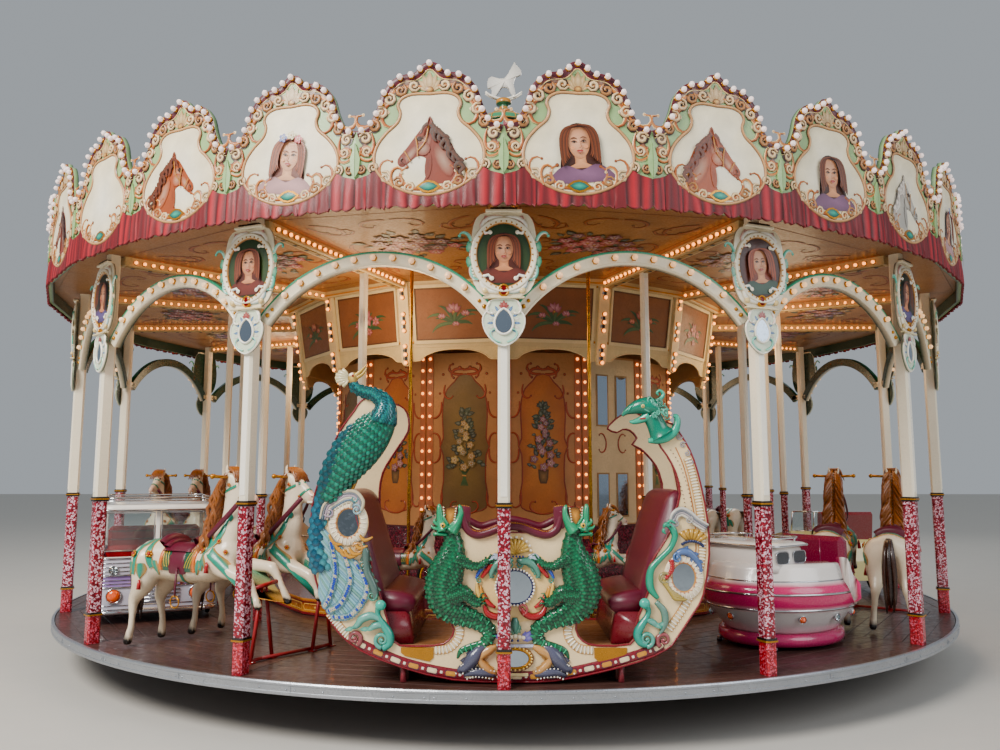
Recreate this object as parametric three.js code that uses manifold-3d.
// Fairground carousel: a round platform with sixteen bays, cresting boards, a painted centre drum,
// a gondola, a boat, a van, cars and carved horses. Millimetres, +Z up, ground at z = 0.
import * as THREE from "three";
import { mergeVertices } from "three/addons/utils/BufferGeometryUtils.js";
import Module from "manifold-3d";

const wasm = await Module();
wasm.setup();

// Driving dimensions
const bays = 16;
const postRing = 4400;
const innerPostRing = 3040;
const deckTop = 400;
const deckThick = 60;
const deckRadius = 4470;
const rimThick = 28;
const rimSides = 48;
const rimDrop = 75;
const beamTop = deckTop - deckThick;
const beamDeep = 80;
const armTop = 150;
const hubTop = 215;
const mastRadius = 150;
const runningGap = 0.6;
const seatGap = 0.3;
const ceilingUnder = deckTop + 3000;
const ceilingThick = 22;
const rafterDeep = 80;
const drumRadius = 1900;
const stepRadius = 2600;
const stepTop = deckTop + 150;
const corniceUnder = deckTop + 2400;
const corniceRadius = 2390;
const corniceFootRadius = 2300;
const crestRadius = 4700;
const crestThick = 36;
const crestFoot = deckTop + 2870;
const crestValley = deckTop + 3390;
const crestPeak = deckTop + 3800;
const roofEdge = deckTop + 3330;
const roofTop = deckTop + 5400;
const roofCollar = 300;
const capTop = deckTop + 5620;
const finialFoot = deckTop + 5770;
const archSpring = 2280;
const archCentre = 1713;
const archInner = 907;
const archBand = 93;
const archThick = 60;
const collarHeight = 1060;
const gondolaCentre = 50;
const gondolaFace = 4310;
const gondolaWide = 950;
const boardThick = 40;
const gondolaFloorTop = 225;
const poleRadius = 16;
const poleTravelRoom = 0.5;

const bayAngle = (2 * Math.PI) / bays;
const quadrants = 4;
const quadrantBays = bays / quadrants;

// Colours and finishes
const paint = (color, roughness = 0.45, metalness = 0) =>
  new THREE.MeshStandardMaterial({ color, roughness, metalness });
const cream = paint(0xf5ebd2);
const crestGreen = paint(0xa0be8c);
const steel = paint(0x8f9298, 0.4, 0.9);
const rimMetal = paint(0xafb4bc, 0.35, 0.8);
const deckWood = paint(0x50322d, 0.5);
const canvasPink = paint(0xb4505a, 0.8);
const ceilingTan = paint(0x9b7850, 0.6);
const drumTan = paint(0xa07d50, 0.5);
const maroon = paint(0x6e1932, 0.45);
const plinthRed = paint(0x781428, 0.5);
const horseCream = paint(0xf0e4cd, 0.4);
const vanLilac = paint(0xa88fd0, 0.3);
const boatPink = paint(0xe13c82, 0.3);
const carCream = paint(0xe6dcaa, 0.3);
const bikeBlue = paint(0x1e3c96, 0.35);
const capGreen = paint(0x2a6a4a, 0.4);
const stoveBlack = paint(0x202224, 0.6, 0.4);

const carousel = new THREE.Group();

function addPart(name, geometry, material) {
  const mesh = new THREE.Mesh(geometry, material);
  mesh.name = name;
  carousel.add(mesh);
  return mesh;
}

// Joining and cutting
function solidOf(geometry) {
  const bare = geometry.clone();
  bare.deleteAttribute("normal");
  bare.deleteAttribute("uv");
  const merged = mergeVertices(bare, 1e-3);
  const mesh = new wasm.Mesh({
    numProp: 3,
    vertProperties: Float32Array.from(merged.attributes.position.array),
    triVerts: Uint32Array.from(merged.index.array),
  });
  return new wasm.Manifold(mesh);
}

function geometryOf(solid) {
  const mesh = solid.getMesh();
  const geometry = new THREE.BufferGeometry();
  geometry.setAttribute("position", new THREE.BufferAttribute(mesh.vertProperties, 3));
  geometry.setIndex(new THREE.BufferAttribute(mesh.triVerts, 1));
  geometry.computeVertexNormals();
  return geometry;
}

function join(...geometries) {
  return geometryOf(geometries.flat().map(solidOf).reduce((whole, next) => whole.add(next)));
}

function cut(geometry, ...tools) {
  return geometryOf(tools.flat().map(solidOf).reduce((whole, tool) => whole.subtract(tool), solidOf(geometry)));
}

// Plain shapes
function box(x0, x1, y0, y1, z0, z1) {
  const geometry = new THREE.BoxGeometry(x1 - x0, y1 - y0, z1 - z0);
  return geometry.translate((x0 + x1) / 2, (y0 + y1) / 2, (z0 + z1) / 2);
}

function upright(radiusLow, radiusTop, z0, z1, sides) {
  const geometry = new THREE.CylinderGeometry(radiusTop, radiusLow, z1 - z0, sides);
  return geometry.rotateX(Math.PI / 2).translate(0, 0, (z0 + z1) / 2);
}

function bar(from, to, radiusFrom, radiusTo = radiusFrom, sides = 6) {
  const start = new THREE.Vector3(...from);
  const end = new THREE.Vector3(...to);
  const along = end.clone().sub(start);
  const geometry = new THREE.CylinderGeometry(radiusTo, radiusFrom, along.length(), sides);
  const turn = new THREE.Quaternion().setFromUnitVectors(new THREE.Vector3(0, 1, 0), along.normalize());
  return geometry.applyQuaternion(turn).translate(...start.add(end).multiplyScalar(0.5).toArray());
}

function circlePoints(radius, sides, phase = 0) {
  const points = [];
  for (let i = 0; i < sides; i += 1) {
    const angle = phase + (2 * Math.PI * i) / sides;
    points.push(new THREE.Vector2(radius * Math.sin(angle), -radius * Math.cos(angle)));
  }
  return points;
}

function plate(outline, holes, z0, z1) {
  const shape = new THREE.Shape(outline);
  for (const hole of holes) shape.holes.push(new THREE.Path(hole));
  return new THREE.ExtrudeGeometry(shape, { depth: z1 - z0, bevelEnabled: false }).translate(0, 0, z0);
}

// A board stands in a plane of constant y, with its outline given in x and z.
function board(outline, y0, y1) {
  const shape = new THREE.Shape(outline.map(([x, z]) => new THREE.Vector2(x, z)));
  const geometry = new THREE.ExtrudeGeometry(shape, { depth: y1 - y0, bevelEnabled: false });
  return geometry.rotateX(Math.PI / 2).translate(0, y1, 0);
}

function turned(geometry, angle) {
  return geometry.clone().rotateZ(angle);
}

// Rides are drawn heading along +X at the front of the platform and are then carried round it.
function carried(geometry, angle, radius) {
  return geometry.clone().translate(0, -radius, deckTop + seatGap).rotateZ(angle);
}

const degrees = THREE.MathUtils.degToRad;

// Fixed ground frame and mast
function groundFrame() {
  const armLength = 3300;
  const armHalf = 70;
  const arms = [upright(420, 420, 0, hubTop, 16)];
  for (let i = 0; i < 8; i += 1) {
    arms.push(turned(box(0, armLength, -armHalf, armHalf, 0, armTop), degrees(22.5 + i * 45)));
  }
  return join(arms);
}

addPart("ground_frame", groundFrame(), stoveBlack);
// The mast's edges face the middles of the bearing's flats, so the running gap stays the same all round.
addPart("centre_mast", upright(mastRadius, mastRadius, hubTop + seatGap, roofTop - runningGap, 24)
  .rotateZ(Math.PI / 24), steel);

// Turning platform
const bearingBore = (mastRadius + runningGap) / Math.cos(Math.PI / 24);
const clearBore = mastRadius + 12;
const gallopers = [
  { name: "galloper_left", angle: degrees(-16.5), radius: 2760, lift: 190 },
  { name: "galloper_right", angle: degrees(15), radius: 2760, lift: 200 },
];

function poleHoles() {
  const bore = poleRadius + poleTravelRoom;
  return gallopers.map(({ angle, radius }) => {
    const centre = new THREE.Vector2(radius * Math.sin(angle), -radius * Math.cos(angle));
    return circlePoints(bore, 12, angle).map((point) => point.add(centre));
  });
}

function deckFrame() {
  const beamHalf = 50;
  const beamEnd = 4200;
  const hub = plate(circlePoints(480, 24), [circlePoints(bearingBore, 24)], beamTop - 110, beamTop - seatGap);
  const beams = [];
  for (let i = 0; i < 8; i += 1) {
    const beam = box(300, beamEnd, -beamHalf, beamHalf, beamTop - beamDeep, beamTop - seatGap);
    beams.push(turned(beam, degrees(i * 45)));
  }
  return join(hub, beams);
}

addPart("deck_frame", deckFrame(), stoveBlack);
addPart("deck_boards", plate(circlePoints(deckRadius, rimSides), [circlePoints(clearBore, 16), ...poleHoles()],
  beamTop, deckTop), deckWood);
addPart("deck_rim", plate(circlePoints(deckRadius + rimThick, rimSides), [circlePoints(deckRadius + seatGap, rimSides)],
  deckTop - rimDrop, deckTop + 4), rimMetal);
addPart("inner_step", plate(circlePoints(stepRadius, bays), [circlePoints(clearBore, 16)],
  deckTop + seatGap, stepTop), plinthRed);
addPart("drum_wall", plate(circlePoints(drumRadius, bays), [circlePoints(clearBore, 16)],
  stepTop + seatGap, corniceUnder), drumTan);

// Cornice above the drum, leaning outwards
function cornice() {
  const lower = corniceUnder + seatGap;
  const body = upright(corniceFootRadius, corniceRadius, lower, ceilingUnder - seatGap, bays);
  body.rotateZ(Math.PI / 2);
  return cut(body, upright(clearBore, clearBore, lower - 50, ceilingUnder + 50, 16));
}

addPart("drum_cornice", cornice(), cream);

function ceiling() {
  return plate(circlePoints(crestRadius - crestThick - 0.4, 2 * bays), [circlePoints(clearBore, 16), ...poleHoles()],
    ceilingUnder, ceilingUnder + ceilingThick);
}

addPart("ceiling", ceiling(), ceilingTan);

// A chamfered post with a collar between its lower and upper length, turned with eight sides
function post(halfWide, halfDeep, height) {
  const collarWide = 1.35;
  const steps = [[0, 0], [1, 0], [1, collarHeight], [collarWide, collarHeight], [collarWide, collarHeight + 30],
    [1, collarHeight + 30], [1, height], [0, height]];
  const profile = steps.map(([wide, z]) => new THREE.Vector2(wide, z));
  const geometry = new THREE.LatheGeometry(profile, 8).rotateX(Math.PI / 2).rotateZ(Math.PI / 8);
  const corner = 1 / Math.cos(Math.PI / 8);
  return geometry.scale(halfWide * corner, halfDeep * corner, 1);
}

const postHeight = ceilingUnder - deckTop - 2 * seatGap;
for (let i = 0; i < bays; i += 1) {
  const name = `post_${String(i + 1).padStart(2, "0")}`;
  addPart(name, carried(post(37.5, 45, postHeight), i * bayAngle, postRing), cream);
}

// Rafters under the ceiling, each with its inner post
function rafterFrame(quadrant) {
  const half = 55;
  const inner = corniceRadius + 30;
  const outer = postRing - 45 * 1.4 - seatGap;
  const low = ceilingUnder - rafterDeep;
  const pieces = [];
  for (let i = 0; i < quadrantBays; i += 1) {
    const angle = (quadrant * quadrantBays + i) * bayAngle;
    pieces.push(turned(box(-half, half, -outer, -inner, low, ceilingUnder - seatGap), angle));
    pieces.push(carried(upright(33, 33, 0, low + 20 - deckTop, 8), angle, innerPostRing));
  }
  const tie = 40;
  for (let i = 0; i < quadrantBays - 1; i += 1) {
    const middle = (quadrant * quadrantBays + i + 0.5) * bayAngle;
    const reach = (inner + tie) * Math.sin(bayAngle / 2);
    const depth = (inner + tie) * Math.cos(bayAngle / 2);
    pieces.push(turned(box(-reach, reach, -depth - tie / 2, -depth + tie / 2, low + 20, ceilingUnder - seatGap), middle));
  }
  return join(pieces);
}

const quarterNames = ["front_right", "back_right", "back_left", "front_left"];
quarterNames.forEach((quarter, i) => addPart(`rafters_${quarter}`, rafterFrame(i), cream));

// Arches with the oval picture frames and mirror plaques in front of the posts
function arch() {
  const halfChord = postRing * Math.sin(bayAngle / 2);
  const end = halfChord - 38 * 1.09 - seatGap;
  const reach = degrees(52);
  const steps = 7;
  const outline = [];
  for (let i = 0; i <= steps; i += 1) {
    const turn = -reach + (2 * reach * i) / steps;
    const radius = archInner + archBand;
    outline.push([radius * Math.sin(turn), archCentre + radius * Math.cos(turn)]);
  }
  outline.push([end, archSpring + 60], [end, archSpring - 10]);
  for (let i = steps; i >= 0; i -= 1) {
    const turn = -reach + (2 * reach * i) / steps;
    outline.push([archInner * Math.sin(turn), archCentre + archInner * Math.cos(turn)]);
  }
  outline.push([-end, archSpring - 10], [-end, archSpring + 60]);
  const plane = -postRing * Math.cos(bayAngle / 2);
  return board(outline, plane - archThick / 2, plane + archThick / 2).translate(0, 0, deckTop);
}

const plaqueBack = -postRing - 45 - seatGap;

// The oval frame and the plaque below it share one outline, half of it given here as (x, z)
function pictureFrame() {
  const half = [[0, 2912], [120, 2875], [195, 2760], [210, 2630], [190, 2490], [125, 2390], [70, 2350],
    [120, 2290], [128, 2200], [80, 2090], [0, 2045]];
  const right = half.map(([x, z]) => [x, z]);
  const left = half.slice(1, -1).map(([x, z]) => [-x, z]).reverse();
  return board([...right, ...left].reverse(), plaqueBack - 45, plaqueBack).translate(0, 0, deckTop);
}

function archLug(side) {
  const inner = side * 46;
  const outer = side * 125;
  const low = deckTop + archSpring - 6;
  return box(Math.min(inner, outer), Math.max(inner, outer), plaqueBack - 10, -postRing + 20, low, low + 60);
}

function archRun(quadrant) {
  const pieces = [];
  for (let i = 0; i < quadrantBays; i += 1) {
    const bay = quadrant * quadrantBays + i;
    pieces.push(turned(arch(), (bay + 0.5) * bayAngle));
    pieces.push(turned(pictureFrame(), bay * bayAngle), turned(archLug(1), bay * bayAngle));
    if (i > 0) pieces.push(turned(archLug(-1), bay * bayAngle));
  }
  return join(pieces);
}

quarterNames.forEach((quarter, i) => addPart(`arches_${quarter}`, archRun(i), cream));

// Cresting boards: a faceted wall with two wavy panels over each bay
function crestTop(across) {
  const bulge = Math.pow(Math.cos((Math.PI * across) / 2), 0.8);
  return crestValley + (crestPeak - crestValley) * bulge;
}

function crestRun(quadrant) {
  const panels = 2 * quadrantBays;
  const columns = 4;
  const panelAngle = bayAngle / 2;
  const endGap = seatGap / crestRadius;
  const positions = [];
  const index = [];
  for (let i = 0; i <= panels * columns; i += 1) {
    const panel = Math.min(Math.floor(i / columns), panels - 1);
    const share = i / columns - panel;
    const start = (quadrant * panels + panel) * panelAngle + (i === 0 ? endGap : 0);
    const end = (quadrant * panels + panel + 1) * panelAngle - (i === panels * columns ? endGap : 0);
    const top = crestTop(Math.abs(2 * share - 1) > 0.999 ? 1 : 2 * share - 1);
    for (const radius of [crestRadius, crestRadius - crestThick]) {
      const x = (1 - share) * radius * Math.sin(start) + share * radius * Math.sin(end);
      const y = -(1 - share) * radius * Math.cos(start) - share * radius * Math.cos(end);
      positions.push(x, y, crestFoot, x, y, top);
    }
  }
  const quad = (a, b, c, d) => index.push(a, b, c, a, c, d);
  for (let i = 0; i < panels * columns; i += 1) {
    const [outLow, outTop, inLow, inTop] = [4 * i, 4 * i + 1, 4 * i + 2, 4 * i + 3];
    quad(outLow, outLow + 4, outTop + 4, outTop);
    quad(inLow + 4, inLow, inTop, inTop + 4);
    quad(outTop, outTop + 4, inTop + 4, inTop);
    quad(outLow + 4, outLow, inLow, inLow + 4);
  }
  const last = 4 * panels * columns;
  quad(0, 1, 3, 2);
  quad(last, last + 2, last + 3, last + 1);
  const geometry = new THREE.BufferGeometry();
  geometry.setAttribute("position", new THREE.Float32BufferAttribute(positions, 3));
  geometry.setIndex(index);
  geometry.computeVertexNormals();
  return geometry;
}

quarterNames.forEach((quarter, i) => addPart(`crest_${quarter}`, crestRun(i), crestGreen));

// Roof of sixteen gores in two halves, its cap and the rocking horse on top
function roofHalf(half) {
  const edge = crestRadius - crestThick - 0.4;
  const skin = 30;
  const gores = bays;
  const section = [[roofCollar, roofTop], [roofCollar, roofTop - skin], [edge, roofEdge - skin], [edge, roofEdge]];
  const positions = [];
  const index = [];
  for (let i = 0; i <= gores; i += 1) {
    const seam = (i === 0 ? seatGap / 2 : 0) - (i === gores ? seatGap / 2 : 0);
    for (const [r, z] of section) {
      const angle = (half * gores + i) * (bayAngle / 2) + seam / r;
      positions.push(r * Math.sin(angle), -r * Math.cos(angle), z);
    }
  }
  const quad = (a, b, c, d) => index.push(a, c, b, a, d, c);
  for (let i = 0; i < gores; i += 1) {
    for (let k = 0; k < 4; k += 1) {
      const next = (k + 1) % 4;
      quad(4 * i + k, 4 * i + next, 4 * i + 4 + next, 4 * i + 4 + k);
    }
  }
  const last = 4 * gores;
  quad(3, 2, 1, 0);
  quad(last, last + 1, last + 2, last + 3);
  const geometry = new THREE.BufferGeometry();
  geometry.setAttribute("position", new THREE.Float32BufferAttribute(positions, 3));
  geometry.setIndex(index);
  geometry.computeVertexNormals();
  return geometry;
}

function roofCap() {
  const ring = roofCollar * Math.cos(Math.PI / (2 * bays)) - 0.4;
  const profile = [
    [0, roofTop], [ring, roofTop], [ring, roofTop + 40], [260, roofTop + 110], [150, capTop - 40], [60, capTop],
    [60, finialFoot - 60], [95, finialFoot - 60], [95, finialFoot], [0, finialFoot],
  ].map(([r, z]) => new THREE.Vector2(r, z));
  const cap = new THREE.LatheGeometry(profile, 12).rotateX(Math.PI / 2);
  const collar = plate(circlePoints(roofCollar + 60, 12), [circlePoints(ring - 60, 12)], roofTop + 0.4, roofTop + 34);
  return join(cap, collar);
}

addPart("roof_right", roofHalf(0), canvasPink);
addPart("roof_left", roofHalf(1), canvasPink);
addPart("roof_cap", roofCap(), capGreen);

function finialHorse() {
  const half = 35;
  const rocker = [];
  const swing = 330;
  for (let i = 0; i <= 8; i += 1) {
    const turn = degrees(-42 + 10.5 * i);
    rocker.push([swing * Math.sin(turn), swing * (1 - Math.cos(turn))]);
  }
  const upper = rocker.map(([x, z]) => [x * 0.94, z + 22]).reverse();
  const figure = [
    [-150, 30], [-95, 35], [-70, 150], [60, 150], [95, 60], [140, 70], [120, 210], [150, 330], [215, 345],
    [220, 385], [150, 455], [120, 490], [100, 440], [50, 330], [0, 270], [-90, 280], [-160, 300], [-200, 200],
    [-150, 190],
  ];
  return join(board([...rocker, ...upper], -half, half), board(figure.reverse(), -half, half),
    box(-60, 60, -half, half, 0, 30)).translate(0, 0, finialFoot + seatGap);
}

addPart("finial_horse", finialHorse(), cream);

// Gondola: two cut-out sides, a floor on two feet and a seat at each end
const gondolaHalf = [
  [0, 12], [320, 24], [640, 92], [960, 215], [1130, 400], [1220, 640], [1240, 900], [1200, 1190], [1110, 1430],
  [1050, 1640], [950, 1790], [740, 1690], [760, 1640], [880, 1500], [980, 1370], [1050, 1170], [985, 940],
  [850, 650], [900, 420], [790, 365], [770, 228], [372, 228], [400, 365], [545, 560], [525, 780], [470, 900],
  [485, 1065], [390, 1060], [330, 930], [170, 900],
];
const railTop = [0, 945];

function gondolaSide(y0, y1) {
  const right = gondolaHalf.map(([x, z]) => [gondolaCentre + x, z]);
  const left = gondolaHalf.slice(1).map(([x, z]) => [gondolaCentre - x, z]).reverse();
  const outline = [...right, [gondolaCentre + railTop[0], railTop[1]], ...left];
  return board(outline, y0, y1);
}

const sideBack = gondolaWide - boardThick;

function gondolaFloor() {
  const inner = boardThick + seatGap;
  const slab = box(-960, 960, inner, sideBack - seatGap, gondolaFloorTop - 40, gondolaFloorTop);
  const feet = [-700, 640].map((x) => box(x, x + 60, inner + 60, sideBack - 60, 0, gondolaFloorTop - 30));
  return join(slab, feet).translate(gondolaCentre, 0, 0);
}

function gondolaSeat(side) {
  const profile = [
    [590, gondolaFloorTop + seatGap], [600, 500], [800, 540], [850, 700], [905, 900], [980, 1120], [1060, 1180],
    [1110, 1120], [1090, 900], [1030, 640], [950, 400], [950, gondolaFloorTop + seatGap],
  ];
  const outline = profile.map(([x, z]) => [side * x, z]);
  if (side < 0) outline.reverse();
  return board(outline, boardThick + seatGap, sideBack - seatGap).translate(gondolaCentre, 0, 0);
}

function addGondola(prefix, angle) {
  const put = (geometry) => carried(geometry, angle, gondolaFace);
  addPart(`${prefix}_outer_side`, put(gondolaSide(0, boardThick)), cream);
  addPart(`${prefix}_inner_side`, put(gondolaSide(sideBack, gondolaWide)), cream);
  addPart(`${prefix}_floor`, put(gondolaFloor()), deckWood);
  addPart(`${prefix}_seat_rear`, put(gondolaSeat(-1)), maroon);
  addPart(`${prefix}_seat_fore`, put(gondolaSeat(1)), maroon);
}

addGondola("gondola", 0);

// Carved horse, about 1.5 m long, kept here as a thick silhouette with its hind hooves just over the deck
const horseOutline = [
  [-550, 20], [-430, 20], [-420, 300], [-330, 330], [-250, 465], [330, 480], [480, 530], [660, 330], [790, 330],
  [880, 360], [870, 450], [720, 650], [520, 660], [500, 800], [460, 1060], [590, 1035], [640, 1090], [560, 1180],
  [450, 1340], [370, 1340], [300, 1220], [200, 900], [140, 790], [-80, 755], [-330, 785], [-480, 740], [-560, 600],
  [-640, 280], [-560, 270],
];

function horse() {
  const halfWide = 145;
  return board(horseOutline, -halfWide, halfWide);
}

// Stand under the raised front legs: a narrow triangle across the horse
function horseStand() {
  const foot = 115;
  const bare = 30;
  const along = 700;
  const top = 500;
  const outline = [[-foot, 0], [foot, 0], [25, top], [-25, top]];
  const opening = [[-foot + 38, bare], [0, top - 110], [foot - 38, bare]];
  const shape = new THREE.Shape(outline.map(([x, z]) => new THREE.Vector2(x, z)));
  shape.holes.push(new THREE.Path(opening.map(([x, z]) => new THREE.Vector2(x, z))));
  const plane = new THREE.ExtrudeGeometry(shape, { depth: bare, bevelEnabled: false });
  return plane.rotateX(Math.PI / 2).rotateZ(Math.PI / 2).translate(along, 0, 0);
}

// Two horses abreast on one line, joined by a tie rod on the deck
const pairRadius = 4030;
const pairSpacing = 500;

function horsePair(angle) {
  const places = [[-410, 0], [-310, pairSpacing]];
  const figures = places.flatMap(([x, y]) => [horse(), horseStand()].map((piece) => piece.translate(x, y, 0)));
  const rod = bar([290, 0, 15], [390, pairSpacing, 15], 14, 14, 4);
  return join(figures, rod).translate(0, -pairRadius, deckTop + seatGap).rotateZ(degrees(angle));
}

const horsePairs = {
  horses_front_left: -28.4,
  horses_left: -92,
  horses_back_left: -154,
  horses_right: 61.6,
  horses_back_right: 138,
};
for (const [name, angle] of Object.entries(horsePairs)) addPart(name, horsePair(angle), horseCream);

function galloper({ angle, radius, lift }) {
  const ponyScale = 0.62;
  const poleAhead = 60;
  const poleFoot = 310 - deckTop;
  const poleTop = ceilingUnder + 220 - deckTop;
  const pole = upright(poleRadius, poleRadius, poleFoot, poleTop, 12);
  const figure = horse().scale(ponyScale, ponyScale, ponyScale).translate(-poleAhead, 0, lift);
  return join(pole, figure).translate(0, -radius, deckTop).rotateZ(angle);
}

for (const mount of gallopers) addPart(mount.name, galloper(mount), horseCream);

// Van, heading along +X, with an open cab between its waist and its roof
function van() {
  const [long, half, low, waist, top] = [800, 500, 70, 560, 1000];
  const body = box(-long, long, -half, half, low, waist);
  const tub = box(-long + 70, long - 90, -half + 50, half - 50, low + 90, waist + 50);
  const seat = box(-620, -250, -half + 40, half - 40, low + 80, 400);
  const backRest = box(-620, -500, -half + 40, half - 40, low + 80, 760);
  const frontSeat = box(40, 300, -half + 40, half - 40, low + 80, 400);
  const roofSlab = box(-long + 20, long - 100, -half + 20, half - 20, top - 60, top);
  const pillars = [];
  for (const x of [-long + 50, -60, long - 150]) {
    for (const y of [-half + 45, half - 45]) pillars.push(box(x - 20, x + 20, y - 20, y + 20, waist - 60, top - 20));
  }
  const wheels = [];
  for (const x of [-480, 480]) {
    for (const side of [-1, 1]) wheels.push(bar([x, side * 380, 130], [x, side * 480, 130], 130, 130, 10));
  }
  return join(cut(body, tub), seat, backRest, frontSeat, roofSlab, pillars, wheels);
}

addPart("van", carried(van(), degrees(-66), 3660), vanLilac);

// Round boat with a cabin at one end and a seat well, on a round foot
function boat() {
  const profile = [[0, 20], [470, 20], [470, 110], [430, 120], [430, 150], [560, 300], [600, 420], [560, 470],
    [520, 620], [0, 620]].map(([r, z]) => new THREE.Vector2(r, z));
  const hull = new THREE.LatheGeometry(profile, 16).rotateX(Math.PI / 2).scale(1.12, 0.92, 1);
  const well = box(-60, 420, -350, 350, 240, 800);
  const door = box(120, 400, -700, 0, 330, 800);
  const cabin = box(-520, -80, -330, 330, 600, 760);
  const seatBack = box(430, 520, -300, 300, 400, 780);
  const feet = [-1, 1].map((side) => box(-420, 420, side * 250 - 40, side * 250 + 40, 0, 40));
  return join(cut(hull, well, door), cabin, seatBack, feet);
}

addPart("boat", carried(boat(), degrees(36), 3640), boatPink);
addPart("boat_back", carried(boat(), degrees(170), 3640), boatPink);

// Vintage car with an open seat well
function car() {
  const body = board([[-760, 150], [-700, 520], [-620, 560], [150, 560], [240, 600], [700, 520], [760, 400],
    [760, 150]].reverse(), -300, 300);
  const well = box(-560, 120, -240, 240, 260, 900);
  const seat = box(-560, -260, -250, 250, 200, 430);
  const backRest = board([[-620, 420], [-680, 860], [-560, 860], [-520, 420]].reverse(), -280, 280);
  const screen = board([[230, 560], [150, 830], [190, 830], [280, 560]].reverse(), -260, 260);
  const parts = [];
  for (const x of [-480, 480]) {
    for (const side of [-1, 1]) {
      parts.push(bar([x, side * 290, 190], [x, side * 420, 190], 190, 190, 10));
      parts.push(box(x - 230, x + 230, Math.min(side * 290, side * 430), Math.max(side * 290, side * 430), 330, 400));
    }
  }
  return join(cut(body, well), seat, backRest, screen, parts);
}

addPart("car_right", carried(car(), degrees(92), 3660), carCream);
addPart("car_left", carried(car(), degrees(-128), 3660), carCream);

function bicycle() {
  const wheel = (x) => bar([x, -14, 290], [x, 14, 290], 215, 215, 12);
  const tube = (from, to) => bar(from, to, 14, 14, 4);
  const frame = [tube([-330, 0, 290], [330, 0, 560]), tube([-330, 0, 290], [-80, 0, 640]),
    tube([-80, 0, 600], [330, 0, 580]), tube([360, 0, 290], [310, 0, 770]), tube([310, -190, 760], [310, 190, 760]),
    bar([-200, 0, 660], [30, 0, 660], 45, 30, 5)];
  const stand = [box(-30, 30, -170, 170, 0, 24), tube([0, 0, 10], [0, 0, 440])];
  return join(wheel(-360), wheel(360), frame, stand);
}

const bicycleScale = 0.82;
addPart("bicycle", carried(bicycle().scale(bicycleScale, bicycleScale, bicycleScale), degrees(-7), 2340)
  .translate(0, 0, stepTop - deckTop), bikeBlue);

export default carousel;
